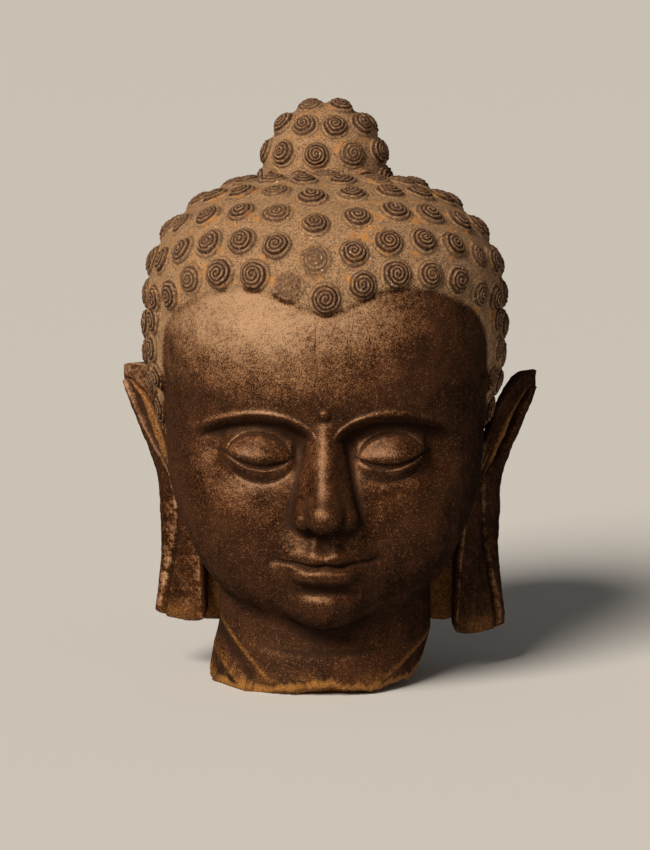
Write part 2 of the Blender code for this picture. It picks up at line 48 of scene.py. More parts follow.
def report(stage):
    print(f"{time.time() - started:6.1f} s  {stage}")


# Clay: signed distances that are joined, carved and stretched

def clamp(value):
    return np.clip(value, 0.0, 1.0)


def ramp(low, high, value):
    # from 0 at low to 1 at high, with soft ends; low may be the larger one
    t = clamp((value - low) / (high - low))
    return t * t * (3 - 2 * t)


def bell(offset, width):
    return np.exp(-((offset / width) ** 2))


def union(a, b, reach):
    mix = clamp(0.5 + 0.5 * (b - a) / reach)
    return b + (a - b) * mix - reach * mix * (1 - mix)


def carve(a, b, reach):
    return -union(-a, b, reach)


def unitOf(vectors):
    return vectors / np.linalg.norm(vectors, axis=1)[:, None]


def lump(p, centre, radii, power=2.0):
    offset = p - centre
    size = (np.abs(offset / radii) ** power).sum(axis=1) ** (1 / power)
    return np.linalg.norm(offset, axis=1) * (1 - 1 / np.maximum(size, tiny))


def rod(p, start, end, startRadius, endRadius):
    axis = np.asarray(end) - start
    reach = clamp(((p - start) @ axis) / (axis @ axis))
    gap = np.linalg.norm(p - start - reach[:, None] * axis, axis=1)
    return gap - (startRadius + (endRadius - startRadius) * reach)


def mirrored(p):
    folded = p.copy()
    folded[:, 0] = np.abs(folded[:, 0])  # both sides carved alike
    return folded


def waves(p, length, turn):
    # an uneven surface: waves in three slanting directions that bend one another
    x, y, z = (p / length * math.tau).T
    first = np.sin(x + 0.7 * y + 0.3 * z + turn)
    second = np.sin(0.9 * y - 0.5 * x + 0.8 * z + 1.3 * first + 2.1 * turn)
    third = np.sin(1.1 * z + 0.6 * x - 0.4 * y + 1.1 * second + 3.7 * turn)
    return (first + second + third) / 3


def march(field, directions, origin, near=20 * mm, far=225 * mm, halvings=6, sights=7):
    # where rays from the origin leave the skin, by halving and then by false position
    low = np.full(len(directions), near)
    high = np.full(len(directions), far)
    for _ in range(halvings):
        middle = 0.5 * (low + high)
        outside = field(origin + middle[:, None] * directions) > 0
        high = np.where(outside, middle, high)
        low = np.where(outside, low, middle)
    atLow = field(origin + low[:, None] * directions)
    atHigh = field(origin + high[:, None] * directions)
    last = np.zeros(len(directions))
    for _ in range(sights):
        guess = low + (high - low) * np.clip(atLow / np.minimum(atLow - atHigh, -tiny), 0.02, 0.98)
        value = field(origin + guess[:, None] * directions)
        outside = value > 0
        atLow = np.where(outside, np.where(last > 0, 0.5 * atLow, atLow), value)
        atHigh = np.where(outside, value, np.where(last < 0, 0.5 * atHigh, atHigh))
        high = np.where(outside, guess, high)
        low = np.where(outside, low, guess)
        last = np.where(outside, 1.0, -1.0)
    reach = low + (high - low) * clamp(atLow / np.minimum(atLow - atHigh, -tiny))
    return origin + directions * reach[:, None]


# Skull and face, the face on the canon of equal thirds and five eye widths

skull = {
    "middle": np.array((0.0, 0.0, 128 * mm)),
    "capMiddle": np.array((0.0, 12 * mm, 230 * mm)),
    "capRadii": (101.5 * mm, 106 * mm, 71 * mm),
    "capSquareness": 2.35,
    "backMiddle": (0, 28 * mm, 168 * mm),
    "backRadii": (90 * mm, 86 * mm, 90 * mm),
}
face = {
    "hairline": 232 * mm,
    "chin": 43 * mm,
    "halfWidth": 95 * mm,
    "front": 95 * mm,
    "crackPlace": -5 * mm,
    "crackDepth": 0.25 * mm,
}
third = (face["hairline"] - face["chin"]) / 3
brow = face["chin"] + 2 * third
noseBase = face["chin"] + third
eyeWidth = 2 * face["halfWidth"] / 5
eyeLine = brow - third / 3
mouth = noseBase - third / 3
mouthHalf = 0.75 * eyeWidth


def skullField(p):
    cap = lump(p, skull["capMiddle"], skull["capRadii"], skull["capSquareness"])
    return union(cap, lump(p, skull["backMiddle"], skull["backRadii"], 2.2), 30 * mm)


def faceMass(p):
    side = mirrored(p)
    forehead = lump(p, (0, -8 * mm, 200 * mm), (94 * mm, 89 * mm, 52 * mm), 2.3)
    oval = lump(p, (0, -6 * mm, 150 * mm), (face["halfWidth"], 88 * mm, 107 * mm), 2.2)
    jaw = lump(p, (0, -38 * mm, 90 * mm), (67 * mm, 49 * mm, 46 * mm), 2.1)
    chin = lump(p, (0, -71 * mm, face["chin"] + 17 * mm), (21 * mm, 19 * mm, 16 * mm))
    cheek = lump(side, (43 * mm, -50 * mm, 113 * mm), (33 * mm, 34 * mm, 36 * mm))
    muzzle = lump(p, (0, -66 * mm, mouth + 1 * mm), (36 * mm, 28 * mm, 24 * mm))
    mass = union(union(oval, forehead, 20 * mm), jaw, 24 * mm)
    mass = union(union(mass, cheek, 18 * mm), muzzle, 16 * mm)
    return union(mass, chin, 14 * mm)


def eyeball(p):
    return lump(mirrored(p), (eyeWidth, -70 * mm, eyeLine - 1 * mm), (22.5 * mm, 20 * mm, 18 * mm))


def nose(p):
    side = mirrored(p)
    front = -face["front"]
    root = (0, front + 4.5 * mm, brow - 7 * mm)
    tip = (0, front - 12.5 * mm, noseBase + 10 * mm)
    ridge = rod(p, root, tip, 6.0 * mm, 8.5 * mm)
    ball = lump(p, (0, front - 13.5 * mm, noseBase + 9 * mm), (10.5 * mm, 9.5 * mm, 9 * mm))
    wingPlace = (eyeWidth / 2 - 7.5 * mm, front - 3 * mm, noseBase + 7 * mm)
    wing = lump(side, wingPlace, (8 * mm, 11 * mm, 7.5 * mm))
    flankTop = (4 * mm, front + 9 * mm, brow - 16 * mm)
    flank = rod(side, flankTop, (8 * mm, front, noseBase + 12 * mm), 7 * mm, 10 * mm)
    shape = union(union(ridge, ball, 6 * mm), flank, 7 * mm)
    nostril = lump(side, (7 * mm, front - 8 * mm, noseBase + 0.5 * mm), (4 * mm, 6 * mm, 3.4 * mm))
    return union(shape, wing, 2.5 * mm), nostril


def lips(p):
    side = mirrored(p)
    front = -face["front"]
    upperEnd = (26 * mm, front + 11 * mm, mouth + 3.2 * mm)
    upper = rod(side, (7 * mm, front, mouth + 4.6 * mm), upperEnd, 5.4 * mm, 2 * mm)
    beak = lump(p, (0, front - 0.5 * mm, mouth + 3.6 * mm), (6 * mm, 5.2 * mm, 4.6 * mm))
    lower = lump(p, (0, front + 5 * mm, mouth - 5.6 * mm), (19 * mm, 11.5 * mm, 7 * mm), 2.2)
    cornerEnd = (26 * mm, front + 12.5 * mm, mouth + 0.6 * mm)
    corner = rod(side, (13 * mm, front + 3.5 * mm, mouth - 4 * mm), cornerEnd, 5 * mm, 1.2 * mm)
    return union(union(upper, beak, 6 * mm), union(lower, corner, 3 * mm), 2 * mm)


def browHeight(s):
    t = clamp((s - 5 * mm) / (2.05 * eyeWidth))
    return brow - 13 * mm + 16 * mm * np.sin(math.pi * t ** 0.8) ** 0.75


def browStrokes(s, z):
    ends = ramp(2 * mm, 9 * mm, s) * ramp(2.14 * eyeWidth, 1.6 * eyeWidth, s)
    below = browHeight(s) - z
    socket = ramp(0.5 * mm, 7 * mm, below) * ramp(46 * mm, 14 * mm, below)
    inner = bell(s - 16 * mm, 9 * mm) * bell(z - eyeLine - 5 * mm, 12 * mm)
    ridge = bell(below + 1.0 * mm, 2.0 * mm)
    return (1.5 * mm * ridge - 6.0 * mm * socket) * ends - 4.5 * mm * inner


def lidStrokes(s, z):
    u = (s - eyeWidth) / (0.5 * eyeWidth)
    v = z - eyeLine
    bow = clamp(1 - u ** 2)
    corner = 1.4 * mm * u
    upperEdge = corner - 4.0 * mm * bow
    lowerEdge = corner - 7.8 * mm * bow
    crease = corner + 12.5 * mm * bow ** 0.55
    inside = ramp(1.14, 0.94, np.abs(u))
    upper = ramp(-0.4 * mm, 0.4 * mm, v - upperEdge) * ramp(14 * mm, 2 * mm, v - upperEdge)
    lower = ramp(-0.4 * mm, 0.4 * mm, lowerEdge - v) * ramp(7 * mm, 2 * mm, lowerEdge - v)
    under = bell(v - lowerEdge + 7.5 * mm, 1.5 * mm) * ramp(1.0, 0.6, np.abs(u))
    fold = bell(v - crease, 0.9 * mm) * ramp(1.3, 0.95, np.abs(u))
    tail = bell(v - 1.4 * mm * u + 0.5 * mm, 0.9 * mm) * ramp(0.9, 1.0, u) * ramp(1.45, 1.1, u)
    return (2.0 * upper + 1.6 * lower) * mm * inside - (fold + 0.9 * tail + 0.6 * under) * mm


def mouthStrokes(s, z):
    reach = clamp(s / mouthHalf)
    line = mouth + 0.9 * mm * np.cos(3 * math.pi * reach) * (1 - reach) + 2.4 * mm * reach ** 2
    parting = bell(z - line, 1.4 * mm) * ramp(1.12, 0.85, s / mouthHalf)
    between = ramp(noseBase + 1 * mm, noseBase - 6 * mm, z)
    between *= ramp(mouth + 5 * mm, mouth + 12 * mm, z)
    groove = bell(s, 3.4 * mm) * between
    ridges = bell(s - 6 * mm, 2.4 * mm) * between
    under = bell(s, 20 * mm) * bell(z - (mouth - 16.5 * mm), 4.5 * mm)
    dimple = bell(np.hypot(s - mouthHalf - 1 * mm, z - mouth - 2.6 * mm), 4.5 * mm)
    return (0.5 * ridges - 1.7 * parting - 1.2 * groove - 2.8 * under - 2.2 * dimple) * mm


def strokes(p):
    s = np.abs(p[:, 0])
    z = p[:, 2]
    mark = ramp(3.8 * mm, 1.8 * mm, np.hypot(s, z - brow - 4 * mm))
    wander = face["crackPlace"] + 0.8 * mm * np.sin(z / (5 * mm)) + 0.5 * mm * np.sin(z / (2.1 * mm))
    crack = bell(p[:, 0] - wander, 0.6 * mm) * ramp(brow + 12 * mm, brow + 30 * mm, z)
    crack *= ramp(face["hairline"] + 8 * mm, face["hairline"], z)
    return lidStrokes(s, z) + mouthStrokes(s, z) + 1.8 * mm * mark - face["crackDepth"] * crack


# Neck and its break

neck = {
    "halfWidth": 64 * mm,
    "halfDepth": 60 * mm,
    "flare": 7 * mm,
    "leftRidge": (-60 * mm, 37 * mm),
    "scoopWidth": 16 * mm,
    "scoopDepth": 3.2 * mm,
    "rightRidge": (41 * mm, 13 * mm),
    "facetDepth": 5 * mm,
    "flatX": (-52 * mm, 27 * mm),
    "flatY": (-44 * mm, 50 * mm),
    "roughness": 0.55,
    "restAllowance": 1.5 * mm,
}


def fromRidges(p):
    # how far a point lies past the left and the right ridge that the chipped places end in
    x, _, z = p.T
    fromLeft = 0.73 * (neck["leftRidge"][0] - x) + 0.68 * (neck["leftRidge"][1] - z)
    fromRight = 0.61 * (x - neck["rightRidge"][0]) - 0.79 * (z - neck["rightRidge"][1])
    return fromLeft, fromRight


def chips(p):
    # how deep the neck is chipped: two scoops with sharp ridges on the left, one flat facet on the right
    x, y, z = p.T
    fromLeft, fromRight = fromRidges(p)
    scoops = np.abs(np.sin(math.pi * fromLeft / neck["scoopWidth"])) * (fromLeft > 0)
    scoops *= ramp(10 * mm, -15 * mm, y) * ramp(-24 * mm, -36 * mm, x)
    facet = np.clip(0.42 * fromRight, 0, neck["facetDepth"]) * ramp(18 * mm, 0, y)
    edge = 21 * mm + 4 * mm * (x / (36 * mm)) ** 2
    step = ramp(edge, edge + 3.5 * mm, z) * ramp(42 * mm, 32 * mm, z)
    step *= bell(x, 36 * mm) * (y < 0)
    return neck["scoopDepth"] * scoops + facet + 1.1 * mm * step


def neckField(p):
    x, y, z = p.T
    flare = neck["flare"] * ramp(45 * mm, 0, z) * ramp(10 * mm, -40 * mm, x)
    size = np.hypot(x / (neck["halfWidth"] + flare), (y + 1 * mm) / neck["halfDepth"])
    column = np.hypot(x, y) * (1 - 1 / np.maximum(size, tiny))
    return np.maximum(column + chips(p), z - 120 * mm)


def unevenness(x, y):
    longWave = np.sin(x / (9.7 * mm) + 1.7 * np.sin(y / (17.3 * mm)) + 0.6)
    crossWave = np.sin(y / (8.1 * mm) - 1.3 * np.sin(x / (13.9 * mm)) + 2.1)
    shortWave = np.sin((x + y) / (4.3 * mm) + longWave) * np.sin((x - 2 * y) / (7.9 * mm))
    return 0.45 * longWave + 0.4 * crossWave + 0.3 * shortWave


def breakHeight(p):
    # how high the broken underside lies, 0 on the flat part that the head stands on
    x, y, _ = p.T
    pastRight = np.maximum(x - neck["flatX"][1], 0)
    pastLeft = np.maximum(neck["flatX"][0] - x, 0)
    pastY = np.maximum(y - neck["flatY"][1], 0) + np.maximum(neck["flatY"][0] - y, 0)
    slope = 0.25 * pastLeft + 0.30 * pastY + 0.42 * pastRight
    steep = 0.8 * np.maximum(pastRight - 32 * mm, 0)
    height = slope * (1 + neck["roughness"] * unevenness(x, y)) + steep
    return np.maximum(height - neck["restAllowance"], 0)


def headField(p):
    mass = faceMass(p)
    front = ramp(-20 * mm, -45 * mm, p[:, 1])
    mass -= front * browStrokes(np.abs(p[:, 0]), p[:, 2])
    body = union(skullField(p), mass, 16 * mm)
    body = union(body, eyeball(p), 3.5 * mm)
    shape, nostril = nose(p)
    body = union(body, shape, 4 * mm)
    body = union(body, lips(p), 4 * mm)
    body = carve(body, nostril, 1.5 * mm) - front * strokes(p)
    body = union(body, neckField(p), 7 * mm)
    return np.maximum(body, breakHeight(p) - p[:, 2])


# Hair: the ground that the curls stand on, and where each curl stands

hair = {
    "thickness": 4.5 * mm,
    "ledge": 1.2 * mm,
    "frontEdge": 251 * mm,
    "sideAngle": math.radians(70),
    "fall": 32 * mm,
    "sideburnEnd": 156 * mm,
    "napeEnd": 98 * mm,
    "middle": np.array((0.0, 8 * mm, 205 * mm)),
    "rowTilt": math.radians(12),
    # rows of curls, numbered from the forehead: angle from the top, curls in it, shift of the first one
    "rows": {5: (19, 9, 0.0), 4: (30.5, 15, 0.47), 3: (42.5, 20, -0.3), 2: (54.6, 25, -0.21),
             1: (65.8, 31, -0.28), 0: (75.5, 33, 0.0), -1: (85.4, 34, 0.5), -2: (94.7, 34, 0.0),
             -3: (104.0, 32, 0.5), -4: (113.4, 30, 0.0), -5: (122.8, 27, 0.5)},
    "browDip": math.radians(7.8),
    "browDipWidth": math.radians(13),
    "templeDip": math.radians(5),
    "templeDipPlace": math.radians(60),
    "templeDipWidth": math.radians(12),
    "stray": 0.005,
    "wear": {(0, -1): 1.0, (1, 0): 0.7},  # by row and number: one curl knocked off, one rubbed smooth
    "seed": 4,
}
curl = {
    "radius": 10.4 * mm,
    "flangeHeight": 1.3 * mm,
    "domeRadius": 8.0 * mm,
    "domeHeight": 3.2 * mm,
    "stepping": 0.8,
    "ridgePitch": 2.3 * mm,
    "ridgeDepth": 0.6 * mm,
    "unevenness": 1.1 * mm,
    "unevenScale": 150.0,
    "flaw": 1.1 * mm,
    "flawWhereWorn": 2.2 * mm,
    "flawScale": 330.0,
}
knot = {
    "middle": np.array((0.0, 37 * mm, 294 * mm)),
    "radii": np.array((38 * mm, 37 * mm, 52 * mm)),
    "squareness": 2.2,
    "curlSize": 0.92,
    # angle of each row from the top, its number of curls, and how far round the first one stands
    "rows": ((82, 12, 0.25), (57, 10, -0.24), (34, 9, 0.32), (15, 4, 0.5)),
}


def hairDepth(p):
    x, y, z = p.T
    angle = np.abs(np.arctan2(x, -y))
    fall = hair["fall"] * (angle / hair["sideAngle"]) ** 2.5
    line = hair["frontEdge"] - fall - 18 * mm * bell(angle, math.radians(17))
    over = z - line
    taper = math.radians(13) * ramp(200 * mm, hair["sideburnEnd"], z)
    beside = (angle - hair["sideAngle"] - taper) * face["halfWidth"]
    nape = ramp(math.radians(95), math.radians(125), angle)
    end = hair["sideburnEnd"] + (hair["napeEnd"] - hair["sideburnEnd"]) * nape
    return np.minimum(-union(-over, -beside, 26 * mm), z - end)


def hairField(p):
    # the hair starts with a low ledge and grows thicker behind it
    depth = hairDepth(p)
    body = (hair["thickness"] - hair["ledge"]) * ramp(0, 30 * mm, depth)
    return headField(p) - hair["ledge"] * ramp(-5 * mm, 4 * mm, depth) - body


def knotField(p):
    return lump(p, knot["middle"], knot["radii"], knot["squareness"])


def turned(polar, turn, tilt):
    up = math.cos(polar)
    forward = math.sin(polar) * math.cos(turn)
    return (math.sin(polar) * math.sin(turn),
            up * math.sin(tilt) - forward * math.cos(tilt),
            up * math.cos(tilt) + forward * math.sin(tilt))


def headCurls(draw):
    directions = []
    wear = []
    for row, (polar, count, shift) in hair["rows"].items():
        polar = math.radians(polar)
        browDip = hair["browDip"] * (1 - 0.15 * max(row, 0))
        templeDip = hair["templeDip"] * (1 - 0.3 * row) * (0 <= row <= 3)
        for number in range(count):
            angle = (number + shift) * math.tau / count
            fromFront = abs(math.remainder(angle, math.tau))
            strayed = hair["stray"] * (2 * draw.random(2) - 1)
            lean = polar + browDip * bell(fromFront, hair["browDipWidth"]) + strayed[0]
            lean += templeDip * bell(fromFront - hair["templeDipPlace"], hair["templeDipWidth"])
            directions.append(turned(lean, angle + strayed[1] / math.sin(polar), hair["rowTilt"]))
            place = (row, number if 2 * number < count else number - count)
            wear.append(hair["wear"].get(place, 0.6 * draw.random() ** 7))
    directions = np.array(directions)
    centres = march(hairField, directions, hair["middle"])
    knotGap = np.hypot(centres[:, 0], centres[:, 1] - knot["middle"][1]) - knot["radii"][0]
    clear = (knotGap > 0.6 * curl["radius"]) | (centres[:, 2] < skull["capMiddle"][2])
    kept = (hairDepth(centres) > 2 * mm) & clear
    return centres[kept], np.array(wear)[kept]


def knotCurls(draw):
    directions = []
    for polar, count, shift in knot["rows"]:
        for number in range(count):
            directions.append(turned(math.radians(polar), (number + shift) * math.tau / count, 0.0))
    directions = np.array(directions)
    centres = march(knotField, directions, knot["middle"])
    return centres, 0.7 * draw.random(len(centres)) ** 6


def facing(field, points, step=1.5 * mm):
    # the skin's outward direction at points on it
    slopes = [field(points + axis) - field(points - axis) for axis in np.eye(3) * step]
    return unitOf(np.array(slopes).T)


def curlPoints(name, centres, worn, scale, field, draw):
    # bare points: where each curl stands, which way it faces, and how it winds
    mesh = bpy.data.meshes.new(name)
    mesh.vertices.add(len(centres))
    mesh.vertices.foreach_set("co", centres.ravel())
    outward = facing(field, centres)
    across = unitOf(np.cross(outward, (0.0, 0.0, 1.0)) + (0.0, tiny, 0.0))
    hand = np.where(draw.random(len(centres)) < 0.5, -1.0, 1.0)
    turn = draw.random(len(centres))
    write(mesh, "outward", outward)
    write(mesh, "across", across)
    write(mesh, "winding", np.column_stack((hand, turn, worn)))
    write(mesh, "size", scale * (1 + 0.05 * (2 * draw.random(len(centres)) - 1)))
    return addObject(name, mesh)


# Meshes

def write(mesh, name, values):
    kind, field = ("FLOAT_VECTOR", "vector") if values.ndim == 2 else ("FLOAT", "value")
    mesh.attributes.new(name, kind, "POINT").data.foreach_set(field, values.astype(np.float32).ravel())


def vectorsOf(items, field):
    values = np.empty(len(items) * 3, np.float32)
    items.foreach_get(field, values)
    return values.reshape(-1, 3).astype(float)


def addObject(name, data):
    thing = bpy.data.objects.new(name, data)
    bpy.context.collection.objects.link(thing)
    return thing


def boxBall(counts):
    # six grids over a box that share their edges, blown up to a ball
    sheets = []
    corners = []
    total = 0
    for axis in range(3):
        a, b = [n for n in range(3) if n != axis]
        i, j = np.meshgrid(np.arange(counts[a] + 1), np.arange(counts[b] + 1), indexing="ij")
        for end in (0, counts[axis]):
            grid = np.empty(i.shape + (3,), np.int64)
            grid[..., a] = i
            grid[..., b] = j
            grid[..., axis] = end
            number = total + np.arange(i.size).reshape(i.shape)
            quads = np.stack((number[:-1, :-1], number[1:, :-1], number[1:, 1:], number[:-1, 1:]), axis=-1)
            outward = (end > 0) == (axis != 1)
            corners.append((quads if outward else quads[..., ::-1]).reshape(-1, 4))
            sheets.append(grid.reshape(-1, 3))
            total += i.size
    grid = np.concatenate(sheets)
    keys = (grid[:, 0] * 4096 + grid[:, 1]) * 4096 + grid[:, 2]
    _, first, place = np.unique(keys, return_index=True, return_inverse=True)
    unit = np.tan((2 * grid[first] / np.array(counts) - 1) * math.pi / 4)
    return unitOf(unit), place[np.concatenate(corners)]


def newMesh(name, points, *sheets):
    # points and sheets of faces, each sheet an array of faces with the same number of corners
    mesh = bpy.data.meshes.new(name)
    sizes = np.concatenate([np.full(len(faces), faces.shape[1]) for faces in sheets])
    loops = np.concatenate([faces.ravel() for faces in sheets])
    mesh.vertices.add(len(points))
    mesh.vertices.foreach_set("co", points.astype(np.float32).ravel())
    mesh.loops.add(len(loops))
    mesh.loops.foreach_set("vertex_index", loops.astype(np.int32))
    mesh.polygons.add(len(sizes))
    mesh.polygons.foreach_set("loop_start", (np.cumsum(sizes) - sizes).astype(np.int32))
    mesh.update(calc_edges=True)
    mesh.validate()
    mesh.shade_smooth()
    return mesh


# Node trees, written as sums and products of sockets

class Wire:
    # one value in a node tree; sums and products of wires add Math nodes
    def __init__(self, tree, socket=None):
        self.tree = tree
        self.socket = socket

    def add(self, kind, settings=None, values=None, output=0):
        node = self.tree.nodes.new(kind)
        for name, value in (settings or {}).items():
            setattr(node, name, value)
        for key, value in (values or {}).items():
            if isinstance(value, Wire):
                self.tree.links.new(value.socket, node.inputs[key])
            else:
                node.inputs[key].default_value = value
        return Wire(self.tree, node.outputs[output])

    def work(self, operation, *others):
        values = dict(enumerate((self,) + others))
        return self.add("ShaderNodeMath", {"operation": operation}, values)

    def noise(self, scale, detail, output="Fac", roughness=0.5):
        # noise at the place that this wire holds
        values = {"Vector": self, "Scale": scale, "Detail": detail, "Roughness": roughness}
        return self.add("ShaderNodeTexNoise", None, values, output)

    def times(self, factor):
        # a vector made longer or shorter
        return self.add("ShaderNodeVectorMath", {"operation": "SCALE"}, {0: self, "Scale": factor})

    def aim(self, operation, *others, output=0):
        values = dict(enumerate((self,) + others))
        return self.add("ShaderNodeVectorMath", {"operation": operation}, values, output)

    def smooth(self, low, high):
        settings = {"interpolation_type": "SMOOTHSTEP"}
        return self.add("ShaderNodeMapRange", settings, {0: self, 1: low, 2: high})

    def blend(self, a, b):
        # the colour a where this wire is 0 and b where it is 1
        return self.add("ShaderNodeMix", {"data_type": "RGBA"}, {0: self, 6: a, 7: b}, 2)

    def parts(self):
        node = self.add("ShaderNodeSeparateXYZ", None, {0: self}).socket.node
        return [Wire(self.tree, socket) for socket in node.outputs]


def operator(operation, swapped):
    def method(self, other):
        pair = (other, self) if swapped else (self, other)
        return self.add("ShaderNodeMath", {"operation": operation}, dict(enumerate(pair)))
    return method


for word, operation in (("add", "ADD"), ("sub", "SUBTRACT"), ("mul", "MULTIPLY"), ("truediv", "DIVIDE")):
    setattr(Wire, f"__{word}__", operator(operation, False))
    setattr(Wire, f"__r{word}__", operator(operation, True))


# Curls: a stepped dome with a wound groove, pressed out of any skin around its nearest point

def wound(u, v, r, hand, turn, pitch):
    # how many windings out from the middle, and how near to the ridge between two grooves
    spiral = r / pitch - hand * v.work("ARCTAN2", u) / math.tau + turn
    return spiral, (spiral * math.pi).work("SINE").work("ABSOLUTE")


def curlTree():
    tree = bpy.data.node_groups.new("carved_curls", "GeometryNodeTree")
    inputs = [("Geometry", "Geometry"), ("Curls", "Object"), ("Material", "Material")]
    inputs += [(name, "Float") for name in curl]
    for name, kind in inputs:
        tree.interface.new_socket(name, in_out="INPUT", socket_type="NodeSocket" + kind)
    tree.interface.new_socket("Geometry", in_out="OUTPUT", socket_type="NodeSocketGeometry")
    given = tree.nodes.new("NodeGroupInput")
    given = {name: Wire(tree, given.outputs[name]) for name, _ in inputs}
    g = Wire(tree)
    place = g.add("GeometryNodeInputPosition")
    curls = g.add("GeometryNodeObjectInfo", None, {"Object": given["Curls"]}, "Geometry")
    nearest = g.add("GeometryNodeSampleNearest", None, {"Geometry": curls, "Sample Position": place})

    def known(value, kind="FLOAT_VECTOR"):
        links = {"Geometry": curls, "Value": value, "Index": nearest}
        return g.add("GeometryNodeSampleIndex", {"data_type": kind}, links)

    def named(name, kind="FLOAT_VECTOR"):
        return known(g.add("GeometryNodeInputNamedAttribute", {"data_type": kind}, {"Name": name}), kind)

    outward = named("outward")
    across = named("across")
    hand, turn, worn = named("winding").parts()
    warp = place.noise(given["unevenScale"], 2.5, "Color")
    warp = warp.aim("SUBTRACT", (0.5, 0.5, 0.5)).times(2.0).times(given["unevenness"])
    offset = place.aim("ADD", warp).aim("SUBTRACT", known(place))
    u = offset.aim("DOT_PRODUCT", across, output="Value")
    v = offset.aim("DOT_PRODUCT", outward.aim("CROSS_PRODUCT", across), output="Value")
    r = (u * u + v * v).work("SQRT") / named("size", "FLOAT")
    spiral, ridge = wound(u, v, r, hand, turn, given["ridgePitch"])
    # each winding keeps the height of its own middle, so that the dome falls in steps
    part = spiral.work("FRACT")
    part = part * part.smooth(1.0, 0.68)
    stepped = r + (0.35 - part) * given["ridgePitch"] * given["stepping"]
    inside = (1 - (stepped / given["domeRadius"]).work("POWER", 2)).work("MAXIMUM", 0.0)
    dome = given["domeHeight"] * inside.work("POWER", 0.6) * (1 - 0.75 * worn)
    flange = r.smooth(given["radius"], given["radius"] * 0.8)
    cut = (1 - ridge.work("POWER", 0.6)) * given["ridgeDepth"] * flange * (1 - worn)
    flaw = (place.noise(given["flawScale"], 2) - 0.5) * flange
    flaw = flaw * (given["flaw"] + worn * given["flawWhereWorn"])
    lift = dome + flange * given["flangeHeight"] - cut + flaw
    where = g.add("ShaderNodeCombineXYZ", None, {0: u, 1: v, 2: r})
    winding = g.add("ShaderNodeCombineXYZ", None, {0: hand, 1: turn, 2: worn})
    vector = {"data_type": "FLOAT_VECTOR"}
    stages = (
        ("StoreNamedAttribute", vector, {"Name": "curlPlace", "Value": where}),
        ("StoreNamedAttribute", vector, {"Name": "curlWinding", "Value": winding}),
        ("SetPosition", None, {"Offset": outward.times(lift)}),
        ("RealizeInstances", None, {}),
        ("SetMaterial", None, {"Material": given["Material"]}),
    )
    shape = given["Geometry"]
    for kind, settings, values in stages:
        shape = g.add("GeometryNode" + kind, settings, {"Geometry": shape, **values})
    tree.links.new(shape.socket, tree.nodes.new("NodeGroupOutput").inputs["Geometry"])
    return tree


def pressCurls(name, points, faces, curls, tree, material):
    skin = addObject(name, newMesh(name, points, faces))
    modifier = skin.modifiers.new("curls", "NODES")
    modifier.node_group = tree
    settings = {"Curls": curls, "Material": material, **curl}
    for item in tree.interface.items_tree:
        if item.name in settings:
            modifier[item.identifier] = settings[item.name]
    evaluated = skin.evaluated_get(bpy.context.evaluated_depsgraph_get())
    mesh = bpy.data.meshes.new_from_object(evaluated)
    bpy.data.objects.remove(skin)
    bpy.data.objects.remove(curls)
    return mesh


def hollows(points, normals, faces, rounds):
    # how far each point lies below the mean of its surroundings, in metres
    a = faces.ravel()
    b = np.roll(faces, -1, axis=1).ravel()
    count = 2 * np.bincount(a, minlength=len(points))[:, None]
    level = points.copy()
    for _ in range(rounds):
        for axis in level.T:
            axis[:] = np.bincount(a, axis[b], len(points)) + np.bincount(b, axis[a], len(points))
        level /= count
    return ((level - points) * normals).sum(axis=1)


def cutOut(name, whole, faces, chosen, middle):
    # the chosen faces as a solid of their own, closed by a fan to the middle
    faces = faces[chosen]
    used, local = np.unique(faces, return_inverse=True)
    local = local.reshape(faces.shape)
    a = local.ravel()
    b = np.roll(local, -1, axis=1).ravel()
    apex = len(used)
    lone = ~np.isin(a * apex + b, b * apex + a)
    fan = np.column_stack((b[lone], a[lone], np.full(lone.sum(), apex)))
    points = np.vstack((whole["points"][used], middle))
    mesh = newMesh(name, points, local, fan)
    for attribute in ("curlPlace", "curlWinding", "hollowsAndLight", "marks"):
        write(mesh, attribute, np.vstack((whole[attribute][used], (1.0, 1.0, 1.0))))
    mesh.normals_split_custom_set_from_vertices(np.vstack((whole["normals"][used], (0, 0, 1.0))))
    return addObject(name, mesh)


skin = {
    "counts": (208, 200, 292),
    "middle": np.array((0.0, 8 * mm, 162 * mm)),
    "radii": np.array((98 * mm, 104 * mm, 150 * mm)),
    "forward": 0.10,
    "knotCounts": (92, 92, 110),
    "mouthDrop": 30 * mm,
    "underChin": 52 * mm,
    "neckSplit": math.radians(92),
    "hairSplit": math.radians(97),
}
# how much bloom each facing takes: dust settles above, painted light falls in front and on the left where
# the key lamp shines, and painted shade lies under the chin
dustAndLightWeights = {
    "least": 0.1,
    "above": 0.8,
    "steepest": 0.3,  # a face that looks up more than this takes no more dust
    "front": 0.45,
    "left": 0.2,
    "underChin": 0.1,
    "fineRounds": 4,
    "broadRounds": 60,
}


def dustAndLightLevel(points, normals):
    # 1 where dust settles above and where painted light falls, in front and on the left towards the key
    # lamp, and 0 behind and below; painted shade under the chin lowers it
    x, y, z = normals.T
    level = dustAndLightWeights["least"] + dustAndLightWeights["above"] * np.minimum(z, dustAndLightWeights["steepest"])
    level = level + dustAndLightWeights["front"] * np.maximum(-y, 0) ** 3 - dustAndLightWeights["left"] * x
    underChin = ramp(50 * mm, 34 * mm, points[:, 2])
    underChin *= ramp(72 * mm, 64 * mm, np.abs(points[:, 0]))
    return clamp(level - dustAndLightWeights["underChin"] * underChin)


